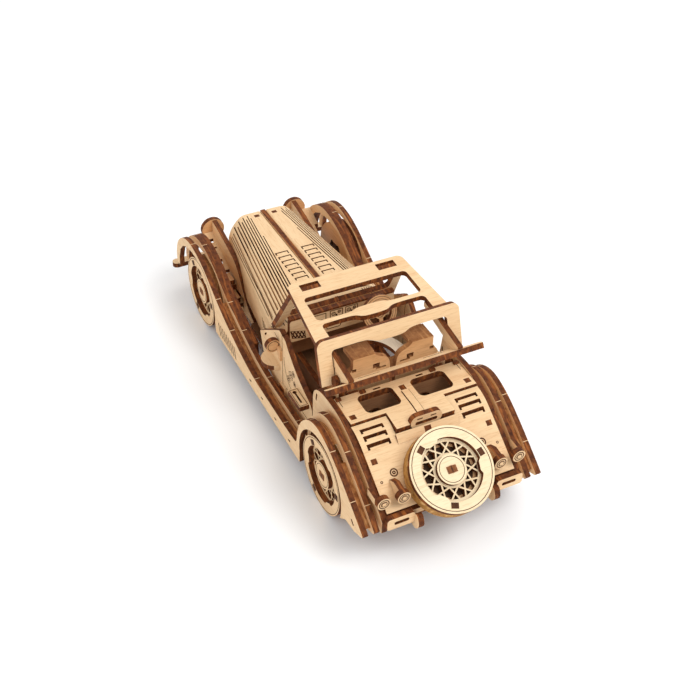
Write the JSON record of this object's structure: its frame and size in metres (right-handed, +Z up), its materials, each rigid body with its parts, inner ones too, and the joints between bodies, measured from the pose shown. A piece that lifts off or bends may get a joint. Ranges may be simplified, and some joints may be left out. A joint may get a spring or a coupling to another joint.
{
  "type": "mechanical plywood puzzle car",
  "caption": "Push-fit laser-cut plywood model of a vintage open tourer with rolling and steering wheels, opening doors, bonnet and boot.",
  "frame": {"origin": "on the ground under the middle of the car's bounding box", "axes": "the car faces -Y, +X is its left side and +Z is up"},
  "size_m": [0.1032, 0.2692, 0.0834],
  "materials": {
    "light": "matte",
    "amber": "matte",
    "brown": "matte",
    "pale": "matte",
    "dowel": "satin"
  },
  "bodies": {
    "car": {"chassis_floor": "light", "chassis_rails": "light", "front_axle_beam": "amber", "radiator_grille": "amber", "radiator_shell": "light", "bonnet_rib": "brown", "firewall": "amber", "bonnet_sides": "light", "scuttle_top": "light", "dashboard": "amber", "body_side_left": "light", "body_side_right": "light", "quarter_left": "light", "quarter_right": "light", "rear_deck": "light", "tail_lamps": "amber", "lamp_brackets": "brown", "rear_bumpers": "light", "spare_spindle": "dowel", "wing_outer_left": "light", "wing_outer_right": "light", "wing_infills": "amber", "wing_middle_left": "light", "wing_middle_right": "light", "wing_inners": "light", "wing_stays": "light", "headlamps": "light", "front_bumper": "light", "seat_left": "amber", "seat_right": "amber", "console_band": "pale", "windscreen_frame": "light", "bulkhead": "amber", "overriders": "amber", "roof_panel": "light", "roof_rear_frame": "light", "roof_arms": "light", "roof_rear_bar": "brown", "spare_tyre": "amber", "spare_rim": "light"},
    "rear_wheels": {"rear_axle": "dowel", "tyre_rear_left": "amber", "rim_rear_left": "light", "tyre_rear_right": "amber", "rim_rear_right": "light"},
    "front_wheel_left": {"tyre_front_left": "amber", "rim_front_left": "light"},
    "front_wheel_right": {"tyre_front_right": "amber", "rim_front_right": "light"},
    "knuckle_left_body": {"knuckle_left": "amber"},
    "knuckle_right_body": {"knuckle_right": "amber"},
    "tie_rod_body": {"tie_rod": "amber"},
    "steering": {"steering_wheel": "amber", "steering_column": "dowel"},
    "boot": {"boot_lid": "light", "boot_handle": "light"},
    "bonnet_half_left": {"bonnet_left": "light"},
    "bonnet_half_right": {"bonnet_right": "light"},
    "door_left_body": {"door_left": "light"},
    "door_right_body": {"door_right": "light"}
  },
  "joints": [
    {"name": "rear_axle_spin", "type": "hinge", "parent": "car", "child": "rear_wheels", "pos_m": [0, 0.0747, 0.021], "axis": [1, 0, 0], "continuous": true},
    {"name": "knuckle_left_turn", "type": "hinge", "parent": "car", "child": "knuckle_left_body", "pos_m": [0.0322, -0.091, 0.021], "axis": [0, 0, 1], "range_deg": [-12, 12]},
    {"name": "knuckle_right_turn", "type": "hinge", "parent": "car", "child": "knuckle_right_body", "pos_m": [-0.0322, -0.091, 0.021], "axis": [0, 0, 1], "range_deg": [-12, 12]},
    {"name": "front_wheel_left_spin", "type": "hinge", "parent": "knuckle_left_body", "child": "front_wheel_left", "pos_m": [0.044, -0.091, 0.021], "axis": [1, 0, 0], "continuous": true},
    {"name": "front_wheel_right_spin", "type": "hinge", "parent": "knuckle_right_body", "child": "front_wheel_right", "pos_m": [-0.044, -0.091, 0.021], "axis": [1, 0, 0], "continuous": true},
    {"name": "tie_rod_slide", "type": "slide", "parent": "car", "child": "tie_rod_body", "axis": [1, 0, 0], "range_m": [-0.0022, 0.0022]},
    {"name": "steering_turn", "type": "hinge", "parent": "car", "child": "steering", "pos_m": [-0.0165, 0.008, 0.0552], "axis": [0, -0.9397, -0.342], "range_deg": [-49, 49]},
    {"name": "boot_lid_hinge", "type": "hinge", "parent": "car", "child": "boot", "pos_m": [0, 0.0587, 0.0527], "axis": [1, 0, 0], "range_deg": [0, 35]},
    {"name": "bonnet_left_hinge", "type": "hinge", "parent": "car", "child": "bonnet_half_left", "pos_m": [0.0029, -0.11, 0.0523], "axis": [0, -0.9997, -0.0263], "range_deg": [0, 55]},
    {"name": "bonnet_right_hinge", "type": "hinge", "parent": "car", "child": "bonnet_half_right", "pos_m": [-0.0029, -0.11, 0.0523], "axis": [0, 0.9997, 0.0263], "range_deg": [0, 55]},
    {"name": "door_left_hinge", "type": "hinge", "parent": "car", "child": "door_left_body", "pos_m": [0.0367, 0.0062, 0.035], "axis": [0, 0, -1], "range_deg": [0, 60]},
    {"name": "door_right_hinge", "type": "hinge", "parent": "car", "child": "door_right_body", "pos_m": [-0.0367, 0.0062, 0.035], "axis": [0, 0, 1], "range_deg": [0, 60]}
  ],
  "couplings": [
    {"joint": "knuckle_right_turn", "follows": "knuckle_left_turn", "ratio": 1},
    {"joint": "tie_rod_slide", "follows": "knuckle_left_turn", "m_per_rad": -0.01},
    {"joint": "steering_turn", "follows": "knuckle_left_turn", "ratio": 4}
  ]
}
